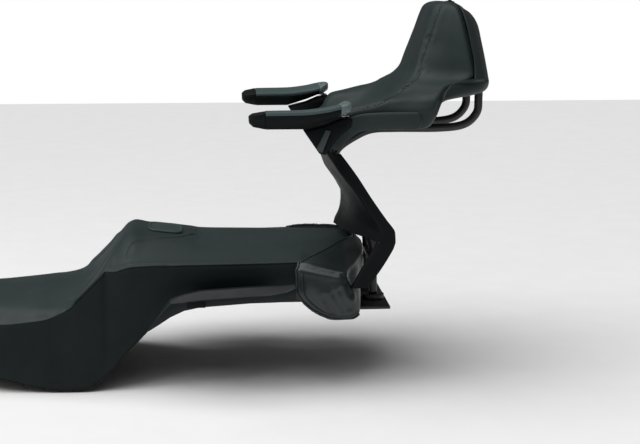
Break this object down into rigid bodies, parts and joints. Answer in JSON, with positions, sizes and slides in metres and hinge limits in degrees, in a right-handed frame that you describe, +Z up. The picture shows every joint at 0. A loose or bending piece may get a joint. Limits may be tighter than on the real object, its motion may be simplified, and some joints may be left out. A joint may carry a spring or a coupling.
{
  "type": "motorcycle seat",
  "caption": "Touring two-up motorcycle seat: stepped saddle, hip bolster, grab rails, winged passenger backrest and swing-out armrests on a steel carrier.",
  "frame": {"origin": "centre of the underside of the steel carrier foot plate, on the seat's centre plane", "axes": "+X to the rear of the bike (the saddle's nose points to -X), +Y to the bike's right, +Z up"},
  "size_m": [1.155, 0.566, 0.716],
  "materials": {
    "vinyl": "grained matt black vinyl",
    "leather": "smooth semi-gloss black",
    "foam": "moulded seat foam",
    "plastic": "fine-textured black",
    "steel": "black powder coat",
    "rubber": "matt black",
    "zinc": "zinc plated"
  },
  "bodies": {
    "seat": {"backrest_cover": "vinyl", "backrest_foam": "foam", "backrest_frame": "steel", "backrest_shell": "plastic", "bolster_cover": "leather", "bolster_foam": "foam", "carrier_foot": "steel", "front_tongue": "steel", "hump_patch": "vinyl", "left_armrest_bracket": "plastic", "left_armrest_pivot": "zinc", "left_armrest_strut": "plastic", "left_armrest_washer": "zinc", "left_front_bumper": "rubber", "left_grab_bolt_1": "zinc", "left_grab_bolt_2": "zinc", "left_grab_bracket": "steel", "left_grab_cap": "plastic", "left_grab_rail": "plastic", "left_panel_tail": "plastic", "left_rear_bumper": "rubber", "left_seat_rail": "steel", "left_upright": "steel", "left_upright_flange": "steel", "left_wing_band": "vinyl", "lower_back_panel": "plastic", "rear_seat_bracket": "steel", "right_armrest_bracket": "plastic", "right_armrest_pivot": "zinc", "right_armrest_strut": "plastic", "right_armrest_washer": "zinc", "right_front_bumper": "rubber", "right_grab_bolt_1": "zinc", "right_grab_bolt_2": "zinc", "right_grab_bracket": "steel", "right_grab_cap": "plastic", "right_grab_rail": "plastic", "right_panel_tail": "plastic", "right_rear_bumper": "rubber", "right_seat_rail": "steel", "right_upright": "steel", "right_upright_flange": "steel", "right_wing_band": "vinyl", "seat_base_pan": "plastic", "seat_cover": "vinyl", "seat_foam": "foam", "upright_cross_bar": "steel"},
    "left_armrest": {"left_armrest_core": "plastic", "left_armrest_pad": "vinyl", "left_armrest_nose": "plastic", "left_armrest_cap": "plastic"},
    "right_armrest": {"right_armrest_core": "plastic", "right_armrest_pad": "vinyl", "right_armrest_nose": "plastic", "right_armrest_cap": "plastic"}
  },
  "joints": [
    {"name": "left_armrest_swing", "type": "hinge", "parent": "seat", "child": "left_armrest", "pos_m": [-0.057, -0.243, 0.392], "axis": [0, 0, 1], "range_deg": [0, 85]},
    {"name": "right_armrest_swing", "type": "hinge", "parent": "seat", "child": "right_armrest", "pos_m": [-0.057, 0.243, 0.392], "axis": [0, 0, -1], "range_deg": [0, 85]}
  ]
}
